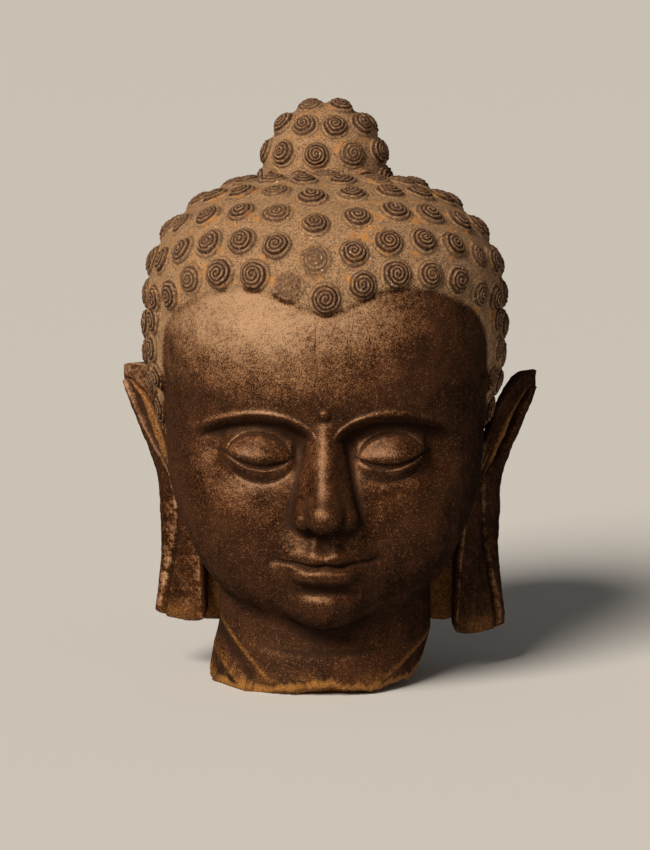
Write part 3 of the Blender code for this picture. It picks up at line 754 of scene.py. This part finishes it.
def hollowsDustAndLight(points, normals, faces, shade):
    # fine and broad hollows, and how much dust and painted light each point takes, less where painted
    # shade is laid on
    fine = hollows(points, normals, faces, dustAndLightWeights["fineRounds"])
    broad = hollows(points, normals, faces, dustAndLightWeights["broadRounds"])
    return np.column_stack((fine, broad, dustAndLightLevel(points, normals) * (1 - shade)))


def wholeOf(mesh, faces):
    points = vectorsOf(mesh.vertices, "co")
    normals = vectorsOf(mesh.vertex_normals, "vector")
    whole = {"points": points, "normals": normals, "hollowsAndLight": hollowsDustAndLight(points, normals, faces, 0)}
    for name in ("curlPlace", "curlWinding"):
        whole[name] = vectorsOf(mesh.attributes[name].data, "vector")
    return whole


def broken(points):
    # 1 on the rough stone of the neck's break: its underside and a ragged band above it
    ragged = 1.8 * mm * waves(points, 14 * mm, 0.4) + 0.8 * mm * waves(points, 4 * mm, 1.9)
    return ramp(5.0 * mm, 3.4 * mm, points[:, 2] - breakHeight(points) + ragged)


def handCut(points):
    # the unevenness that chisel and rubbing stones leave, and the crumbled stone of the break
    even = 0.16 * mm * waves(points, 23 * mm, 1.0) + 0.07 * mm * waves(points, 6 * mm, 2.0)
    crumbled = 0.6 * mm * waves(points, 5 * mm, 0.7) + 0.35 * mm * waves(points, 2.1 * mm, 2.6) - 0.5 * mm
    above = ramp(0.0, 1.5 * mm, points[:, 2])  # the resting face stays flat
    return even + broken(points) * crumbled * above


def earthAndRidgeHighlight(points):
    # 1 where earth stays, thinly above the neck's break, and along the ridges of the chipped neck, where
    # the ochre is earth and a painted highlight of the light that the ridges catch
    x, y, z = points.T
    fromLeft, fromRight = fromRidges(points)
    left = bell(fromLeft - 0.3 * mm, 1.1 * mm) + bell(fromLeft - neck["scoopWidth"], 1.0 * mm)
    left *= ramp(-30 * mm, -38 * mm, x) * ramp(44 * mm, 34 * mm, z) * (y < 10 * mm)
    right = bell(fromRight + 0.5 * mm, 1.1 * mm) * ramp(30 * mm, 38 * mm, x)
    right *= (z < 40 * mm) * (y < 0)
    low = 0.3 * ramp(20 * mm, 8 * mm, z) * ramp(-0.4, 0.6, waves(points, 21 * mm, 3.0))
    return clamp(0.8 * (left + right) + low)


def headPieces(tree, draw, material):
    unit, faces = boxBall(skin["counts"])
    target = skin["middle"] + skin["radii"] * (unit + (0, -skin["forward"], 0))
    # rays start at the middle, but lower for the mouth, so that no lip hides the other
    origin = np.tile(skull["middle"], (len(target), 1))
    atMouth = bell(target[:, 2] - mouth, 15 * mm) * ramp(-30 * mm, -70 * mm, target[:, 1])
    origin[:, 2] -= skin["mouthDrop"] * atMouth
    directions = unitOf(target - origin)
    points = march(hairField, directions, origin)
    points += directions * handCut(points)[:, None]
    points[:, 2] = np.maximum(points[:, 2], 0.0)
    report(f"head skin of {len(faces)} faces")
    curls = curlPoints("head_curls", *headCurls(draw), 1.0, hairField, draw)
    mesh = pressCurls("head_skin", points, faces, curls, tree, material)
    whole = wholeOf(mesh, faces)
    depth = hairDepth(points)
    whole["marks"] = np.column_stack((ramp(-6 * mm, 5 * mm, depth), broken(points), earthAndRidgeHighlight(points)))
    hairy = (depth > 0) | (whole["curlPlace"][:, 2] < curl["radius"] + 1 * mm)
    hairy = hairy[faces].all(axis=1)
    x, y, z = points[faces].mean(axis=1).T
    turn = np.arctan2(x, -y)
    low = (z < skin["underChin"]) | (np.abs(turn) > skin["neckSplit"])
    regions = {
        "face": ~hairy & ~low,
        "neck": ~hairy & low,
        "hair_front": hairy & (np.abs(turn) < skin["hairSplit"]),
        "hair_left": hairy & (turn <= -skin["hairSplit"]),
        "hair_right": hairy & (turn >= skin["hairSplit"]),
    }
    return [cutOut(name, whole, faces, chosen, skull["middle"]) for name, chosen in regions.items()]


def topknot(tree, draw, material):
    directions, faces = boxBall(skin["knotCounts"])
    points = march(knotField, directions, knot["middle"])
    curls = curlPoints("knot_curls", *knotCurls(draw), knot["curlSize"], knotField, draw)
    mesh = pressCurls("knot_skin", points, faces, curls, tree, material)
    whole = wholeOf(mesh, faces)
    whole["marks"] = np.tile((1.0, 0.0, 0.0), (len(points), 1))
    return cutOut("topknot", whole, faces, np.ones(len(faces), bool), knot["middle"])


# Ears: long slabs with a carved front, rows of points from the top to the lobe's end

ear = {
    "top": 187.5 * mm,
    "join": 118 * mm,
    # height, root x and y and rim x and y in mm, then where the outer band and the front plate end
    "stations": (
        (187.5, 98, 6, 127, 42, 1.30, 1.25),
        (180, 96, 4, 126.5, 41.5, 1.05, 1.00),
        (176, 95.5, 3, 126, 41.2, 0.94, 0.82),
        (171, 95, 2, 125, 41, 0.89, 0.60),
        (163, 94, 1, 122, 39.5, 0.87, 0.48),
        (155, 93, 0, 119, 38, 0.84, 0.41),
        (135, 90, -3, 111, 33, 0.66, 0.34),
        (120, 87, -5, 106, 29, 0.43, 0.34),
        (95, 82, -9, 104, 25, 0.48, 0.48),
        (70, 79, -11, 103.5, 22, 0.66, 0.66),
        (50, 78, -11, 105.5, 21, 0.76, 0.76),
        (30, 77, -10, 107.5, 21, 0.82, 0.82),
    ),
    "thickness": 12 * mm,
    "ends": {-1: 34 * mm, 1: 26 * mm},
    "spreads": {-1: -3 * mm, 1: 3 * mm},
    # fall of the upper edge: at the tip, at the head, share of the width, reach down, more at the back
    "drops": {-1: (0 * mm, 14 * mm, 0.4, 40 * mm, 0.0), 1: (3.5 * mm, 42 * mm, 1.0, 80 * mm, 0.18)},
    "rounding": 9 * mm,
    "rise": 3 * mm,
    "tip": 0.4 * mm,
    "roughness": 0.35 * mm,
    "rows": 230,
    "columns": 56,
}
web = {
    "middle": np.array((70 * mm, 15 * mm, 86 * mm)),
    "radii": np.array((18 * mm, 11 * mm, 54 * mm)),
    "squareness": 3,
    "roughness": 0.9 * mm,
    "cuts": 30,
}


rootX, rootY, rimX, rimY, bandEnd, plateEnd = range(1, 7)


def along(column, z):
    # a column of the stations at each height, on a smooth curve
    stations = (np.array(ear["stations"]) * (mm, mm, mm, mm, mm, 1, 1))[::-1]
    heights = stations[:, 0]
    values = stations[:, column]
    index = np.clip(np.searchsorted(heights, z) - 1, 0, len(heights) - 2)
    slopes = np.gradient(values, heights)
    span = heights[index + 1] - heights[index]
    t = clamp((z - heights[index]) / span)
    start = (1 + 2 * t) * (1 - t) ** 2 * values[index] + t * (1 - t) ** 2 * span * slopes[index]
    stop = t * t * (3 - 2 * t) * values[index + 1] + t * t * (t - 1) * span * slopes[index + 1]
    return start + stop


def earFade(level, start, end, z):
    # from 0 to 1 between two distances in mm above the ear's top, or above where the lobe joins it
    return ramp(ear[level] + start * mm, ear[level] + end * mm, z)


def earLobe(z):
    # 1 on the lobe and 0 on the upper ear
    return earFade("join", 6, -14, z)


def earFold(z):
    # share of the stretch between plate and rim that the fold takes
    return 0.70 - 0.16 * earFade("join", 30, 46, z)


def earChannel(u, z, width):
    # 1 between plate and rim, how far across that stretch, and 1 in the channel beside the rim
    band = along(bandEnd, z)
    plate = along(plateEnd, z)
    edge = 0.9 * mm / width
    across = clamp((u - plate) / np.maximum(band - plate, tiny))
    between = ramp(plate - edge, plate + edge, u) * ramp(band + edge, band - edge, u)
    between *= ramp(1.0, 0.9, u)
    channel = ramp(0.82, 0.96, across / earFold(z))
    channel *= earFade("top", -11, -17, z)
    return between, across, channel * earFade("join", 12, 22, z)


def earRelief(u, z, width):
    # height of the carving on the ear's front, u running from the head to the rim
    band = along(bandEnd, z)
    plate = along(plateEnd, z)
    belowTop = earFade("top", -1, -6, z)
    aboveJoin = earFade("join", -4, 4, z)
    between, across, channel = earChannel(u, z, width)
    ridge = np.sin(math.pi * clamp(across / earFold(z))) ** 0.7
    recess = between * (2.2 * mm * ridge - 1.4 * mm - 3.4 * mm * channel)
    line = 3.0 * mm * bell((u - plate) * width, 1.4 * mm) * ramp(1.0, 0.86, u)
    strip = bell((u - 0.17) * width, 1.8 * mm) - 0.8 * bell((u - 0.17) * width - 3.6 * mm, 1.3 * mm)
    strip = 1.5 * mm * strip * earFade("top", -22, -32, z)
    groove = 3.8 * mm * bell((u - band) * width, 1.7 * mm) * belowTop * (1 - aboveJoin)
    outer = np.sin(math.pi * clamp((u - band) / np.maximum(1 - band, tiny)))
    inner = np.sin(math.pi * clamp(u / band)) ** 0.7
    swell = np.where(u > band, 2.2 * mm * outer, 2.2 * mm * inner * earLobe(z))
    return swell - groove + belowTop * aboveJoin * (recess - line + strip)


def earSoil(u, z, width, end):
    # earth on the ridge beside the channel and on the lobe's ragged end
    between, across, _ = earChannel(u, z, width)
    ridge = between * bell(across - 0.5 * earFold(z), 0.24)
    ridge *= earFade("join", 8, 22, z)
    low = ramp(end + 16 * mm, end + 5 * mm, z) * bell(u - 0.5, 0.35)
    return np.clip(ridge * earFade("top", -4, -14, z) + 0.5 * low, 0, 1)


def earShade(u, z, width):
    # above 0 where painted shade darkens the channel and the grooves, and below 0 where more bloom lies,
    # painted light on the lobes and on the plate
    between, _, channel = earChannel(u, z, width)
    band = along(bandEnd, z)
    plate = along(plateEnd, z)
    lobe = earLobe(z)
    grooveShade = bell((u - plate) * width, 1.6 * mm) * (1 - lobe) + bell((u - band) * width, 1.3 * mm) * lobe
    # painted light: more bloom on the lobes and on the plate
    lit = (0.45 + 0.25 * (u > band)) * lobe + 0.35 * ramp(0.02, -0.04, u - plate) * (1 - lobe)
    return between * channel + grooveShade - lit * (1 - grooveShade)


def slabFaces(rows, columns):
    # faces for rows of points that run along the front and back again behind, closed at both ends
    number = np.arange(rows * 2 * columns).reshape(rows, 2 * columns)
    beside = np.roll(number, -1, axis=1)
    sheets = [np.stack((number[:-1], beside[:-1], beside[1:], number[1:]), axis=-1).reshape(-1, 4)]
    for row, step in ((number[0], 1), (number[-1], -1)):
        front = row[:columns]
        back = row[:columns - 1:-1]
        sheets.append(np.stack((front[:-1], back[:-1], back[1:], front[1:]), axis=-1)[:, ::step])
    return np.concatenate(sheets)


def earSkin(side):
    end = ear["ends"][side]
    rows, columns = ear["rows"] + 1, ear["columns"]
    heights = np.linspace(ear["top"], end, rows)
    z, u = np.meshgrid(heights, np.linspace(0, 1, columns), indexing="ij")
    lobe = earLobe(z)
    root = np.stack((along(rootX, z) + ear["spreads"][side] * lobe, along(rootY, z)), axis=-1)
    rim = np.stack((along(rimX, z) + ear["spreads"][side], along(rimY, z)), axis=-1)
    across = rim - root
    width = np.linalg.norm(across, axis=-1)
    outward = np.stack((across[..., 1], -across[..., 0]), axis=-1) / width[..., None]
    roundEnd = np.sqrt(1 - (1 - np.minimum(1.0, (z - end + ear["tip"]) / ear["rounding"])) ** 2)
    overRim = clamp((u - 0.8) / 0.2)  # the last fifth of the way rounds over
    lip = np.sqrt(1 - 0.95 * overRim ** 2)
    lip -= 0.75 * lobe * clamp(1 - u / 0.25) ** 2
    fall, depth, share, reach, lean = ear["drops"][side]
    crown = ramp(ear["top"] - reach, ear["top"], z)
    corner = fall + 2 * mm * overRim ** 2
    foot = ramp(end + 3 * ear["rounding"], end, z)
    height = z - crown * corner + foot * ear["rise"] * np.abs(2 * u - 1) ** 3
    sheets = []
    for lift, leaning in ((earRelief(u, z, width), 0), (-ear["thickness"] * lip, lean * lip)):
        plan = root + u[..., None] * across + outward * (lift * roundEnd)[..., None]
        drop = crown * depth * clamp(1 - u / share + leaning) ** 2
        sheets.append(np.concatenate((plan, (height - drop)[..., None]), axis=-1))
    points = np.concatenate((sheets[0], sheets[1][:, ::-1]), axis=1)
    points[..., 0] *= side
    faces = slabFaces(rows, columns)
    if side > 0:
        faces = faces[:, ::-1]
    earth = np.concatenate((earSoil(u, z, width, end), np.full(u.shape, 0.1)), axis=1).ravel()
    shade = np.concatenate((earShade(u, z, width), 0 * u), axis=1).ravel()
    return points.reshape(-1, 3), faces, np.column_stack((0 * earth, 0 * earth, earth)), shade


def plainPiece(name, points, faces, marks, shade, roughness):
    # a skin with no curls: roughened along its normals, with the attributes that the stone reads
    smooth = newMesh(name + "_smooth", points, faces)
    uneven = roughness * (waves(points, 17 * mm, 1.0) + 0.5 * waves(points, 6 * mm, 2.0))
    points = points + vectorsOf(smooth.vertex_normals, "vector") * uneven[:, None]
    bpy.data.meshes.remove(smooth)
    mesh = newMesh(name, points, faces)
    normals = vectorsOf(mesh.vertex_normals, "vector")
    write(mesh, "curlPlace", np.ones((len(points), 3)))
    write(mesh, "curlWinding", np.zeros((len(points), 3)))
    write(mesh, "hollowsAndLight", hollowsDustAndLight(points, normals, faces, shade))
    write(mesh, "marks", marks)
    return addObject(name, mesh)


def webSkin(side):
    directions, faces = boxBall((web["cuts"],) * 3)
    size = (np.abs(directions / web["radii"]) ** web["squareness"]).sum(axis=1) ** (1 / web["squareness"])
    marks = np.tile((0.0, 0.2, 0.55), (len(directions), 1))
    return web["middle"] * (side, 1, 1) + directions / size[:, None], faces, marks, 0.0


# Stone: dark brown and satin under a tan bloom of dust and painted light, with painted shade in the
# grooves and creases and ochre earth in the hollows

stone = {
    "dark": (0.014, 0.0035, 0.001, 1),
    "middle": (0.036, 0.010, 0.003, 1),
    "tan": (0.40, 0.245, 0.135, 1),
    "rust": (0.30, 0.135, 0.055, 1),
    "curl": (0.120, 0.062, 0.038, 1),
    # the darkest brown: painted shade in the curls' grooves and in creases, and dark pits
    "groove": (0.014, 0.005, 0.003, 1),
    "ground": (0.41, 0.250, 0.125, 1),
    "ochre": (0.44, 0.185, 0.042, 1),
    "chip": (0.62, 0.52, 0.40, 1),
    "fracture": (0.33, 0.145, 0.035, 1),
    "shine": (1.0, 0.58, 0.35, 1),
    "grainSize": 0.7 * mm,
    "mottleSize": 2.4 * mm,
    "cloudSize": 11 * mm,
    "patchSize": 45 * mm,
    "satin": 0.36,
    "dusty": 0.80,
}


def fillSockets(node, values):
    for name, value in values.items():
        node.inputs[name].default_value = value


def newMaterial(name):
    material = bpy.data.materials.new(name)
    material.use_nodes = True
    return material, material.node_tree.nodes["Principled BSDF"]


def darkStone():
    material, surface = newMaterial("dark_stone")
    g = Wire(material.node_tree)
    place = g.add("ShaderNodeTexCoord", output="Object")

    def noise(size, detail=3, roughness=0.6):
        return place.noise(1 / size, detail, "Fac", roughness)

    def attribute(name):
        return g.add("ShaderNodeAttribute", {"attribute_name": name}, None, "Vector").parts()

    u, v, r = attribute("curlPlace")
    hand, turn, worn = attribute("curlWinding")
    fine, broad, dustAndLit = attribute("hollowsAndLight")
    hairy, fractured, earthAndHighlight = attribute("marks")
    grain = noise(stone["grainSize"], 3, 0.65)
    mottle = noise(stone["mottleSize"])
    cloud = noise(stone["cloudSize"])
    patch = noise(stone["patchSize"], 2)

    # a bloom of dust that thins out to specks, with painted light: denser where faces turn to the key lamp
    # and on the upper left
    specks = grain * 0.8 + mottle * 0.2
    hairy = (hairy + (specks - 0.5) * 1.2).smooth(0.25, 0.75)
    x, _, z = place.parts()
    upper = z.smooth(150 * mm, 200 * mm)
    # painted light: more bloom on the upper left, where the key lamp shines from, and more bloom higher up
    higherAndLitLeft = ((z - 175 * mm) * 5).work("MAXIMUM", -0.2) - x * upper * 3
    dustAndLight = (dustAndLit - 0.56) * 1.5 + (patch - 0.5) * 0.4 + (cloud - 0.5) * 0.6 + higherAndLitLeft
    bloomAndLight = (specks + dustAndLight * 0.25).smooth(0.43, 0.68).work("MAXIMUM", specks.smooth(0.53, 0.66) * 0.6)
    colour = (cloud + patch).smooth(0.75, 1.3).blend(stone["dark"], stone["middle"])
    powder = (dustAndLight + hairy * 0.5).smooth(-0.1, 0.6).blend(stone["rust"], stone["tan"])
    colour = (bloomAndLight * 0.9).blend(colour, powder)

    # curls have a wound groove darkened with painted shade, browner windings with a painted highlight of
    # tan on the ridge tops, and the tan ground that they stand on
    onDome = r.smooth(curl["domeRadius"] + 1.2 * mm, curl["domeRadius"] - 1.2 * mm)
    onFlange = r.smooth(curl["radius"], curl["radius"] - 0.8 * mm)
    _, ridge = wound(u, v, r, hand, turn, curl["ridgePitch"])
    gap = (mottle * 0.5 + noise(1.3 * mm, 2) * 0.5).smooth(0.38, 0.52)
    cut = ridge.smooth(0.92, 0.35) * onFlange * (1 - worn) * (0.5 + 0.5 * gap) * (0.55 + 0.45 * onDome)
    pits = (1 - specks).smooth(0.50, 0.62) * hairy * (0.4 + 0.4 * onDome)
    ground = hairy * (1 - onDome * 0.85)

    # creases and broad hollows are darkened with painted shade, and where earth has stayed they are ochre
    bare = (1 - hairy) * r.smooth(15 * mm, 22 * mm)
    crease = fine.smooth(0.03 * mm, 0.14 * mm) * bare
    deepShade = broad.smooth(0.3 * mm, 1.3 * mm) * bare
    spots = noise(8 * mm).smooth(0.55, 0.68)
    earth = (spots * ground * 0.8 + earthAndHighlight * specks.smooth(0.40, 0.60)).work("MINIMUM", 1.0)

    layers = (
        (hairy * 0.9, "curl"),
        (ground * specks.smooth(0.38, 0.60) * 0.92, "ground"),
        # painted highlight: tan on the ridge tops of the domes
        (onDome * ridge.smooth(0.55, 1.0) * mottle.smooth(0.46, 0.62) * 0.6, "ground"),
        # painted shade in the wound groove, and dark pits
        (cut.work("MAXIMUM", pits), "groove"),
        # painted shade in creases and broad hollows
        ((crease * 0.7).work("MAXIMUM", deepShade * 0.8), "groove"),
        # ochre earth, and on the neck's chipped ridges also a painted highlight
        (earth * 0.8, "ochre"),
        (fractured * (0.35 + specks.smooth(0.38, 0.60) * 0.65), "fracture"),
        (noise(2.2 * mm, 2).smooth(0.71, 0.74) * hairy, "chip"),
    )
    for share, tone in layers:
        colour = share.blend(colour, stone[tone])

    handled = dustAndLit.smooth(0.25, 0.60)
    matt = 1 - handled + bloomAndLight * 0.25 + hairy * 0.7 + crease + deepShade + earth + fractured
    matt = matt.work("MINIMUM", 1.0)
    roughness = stone["satin"] + (stone["dusty"] - stone["satin"]) * matt + 0.10 * (cloud - 0.5)
    height = grain * (0.20 + 0.35 * hairy) + mottle * 0.24 - cut * 0.45 + noise(0.6 * mm, 2) * 0.07
    bump = g.add("ShaderNodeBump", None, {"Strength": 0.8, "Distance": 1 * mm, "Height": height}, "Normal")
    for name, wire in (("Base Color", colour), ("Roughness", roughness), ("Normal", bump)):
        material.node_tree.links.new(wire.socket, surface.inputs[name])
    fillSockets(surface, {"Specular IOR Level": 0.5, "Specular Tint": stone["shine"]})
    return material


draw = np.random.default_rng(hair["seed"])
finish = darkStone()
tree = curlTree()
pieces = headPieces(tree, draw, finish)
pieces.append(topknot(tree, draw, finish))
for side, name in ((-1, "left"), (1, "right")):
    pieces.append(plainPiece("ear_" + name, *earSkin(side), ear["roughness"]))
    pieces.append(plainPiece("web_" + name, *webSkin(side), web["roughness"]))
for piece in pieces:
    piece.data.materials.append(finish)
    report(f"{piece.name} of {len(piece.data.loops) - 2 * len(piece.data.polygons)} triangles")
    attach(piece, "root")
    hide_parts("buddha_head")

# Studio: a soft key from the upper left, a faint fill, a pale floor and a pale room

studio = {
    "distance": 2.0,
    "elevation": math.radians(8),
    "aim": Vector((0, 0, 0.154)),
    "width": 0.392,
    "sensor": 36,
    "key": {"energy": 4.5, "angle": math.radians(26), "color": (1.0, 0.91, 0.80)},
    "keyPlace": Vector((-0.52, -0.80, 0.72)),
    "fill": {"energy": 1.0, "shape": "DISK", "size": 1.2, "color": (1.0, 0.93, 0.86)},
    "fillPlace": Vector((1.5, -1.3, 0.4)),
    "floor": {"Base Color": (0.62, 0.61, 0.59, 1), "Roughness": 0.9},
    "floorSize": 400,
    "room": {"Color": (0.80, 0.78, 0.75, 1), "Strength": 0.16},
}


def aimed(name, data, place, direction):
    holder = addObject(name, data)
    holder.location = place
    holder.rotation_euler = direction.to_track_quat("-Z", "Y").to_euler()
    return holder


def light(name, kind, place, direction):
    lamp = bpy.data.lights.new(name, kind)
    for setting, value in studio[name].items():
        setattr(lamp, setting, value)
    aimed(name, lamp, place, direction)


def camera():
    lens = bpy.data.cameras.new("camera")
    lens.sensor_width = studio["sensor"]
    lens.sensor_fit = "HORIZONTAL"
    lens.lens = studio["sensor"] * studio["distance"] / studio["width"]
    away = Vector((0, -math.cos(studio["elevation"]), math.sin(studio["elevation"])))
    bpy.context.scene.camera = aimed("camera", lens, studio["aim"] + away * studio["distance"], -away)


def paleFloor():
    bpy.ops.mesh.primitive_plane_add(size=studio["floorSize"])
    floor = bpy.context.object
    floor.name = "floor"
    pale, surface = newMaterial("pale_floor")
    fillSockets(surface, studio["floor"])
    floor.data.materials.append(pale)
    floor.visible_glossy = False  # the stone mirrors its lamps and not the pale room


def paleRoom():
    world = bpy.data.worlds.new("studio")
    world.cycles_visibility.glossy = False
    world.use_nodes = True
    fillSockets(world.node_tree.nodes["Background"], studio["room"])
    bpy.context.scene.world = world


camera()
light("key", "SUN", Vector(), -studio["keyPlace"])
light("fill", "AREA", studio["fillPlace"], studio["aim"] - studio["fillPlace"])
paleFloor()
paleRoom()
bpy.context.scene.view_settings.view_transform = "Standard"
report("done")
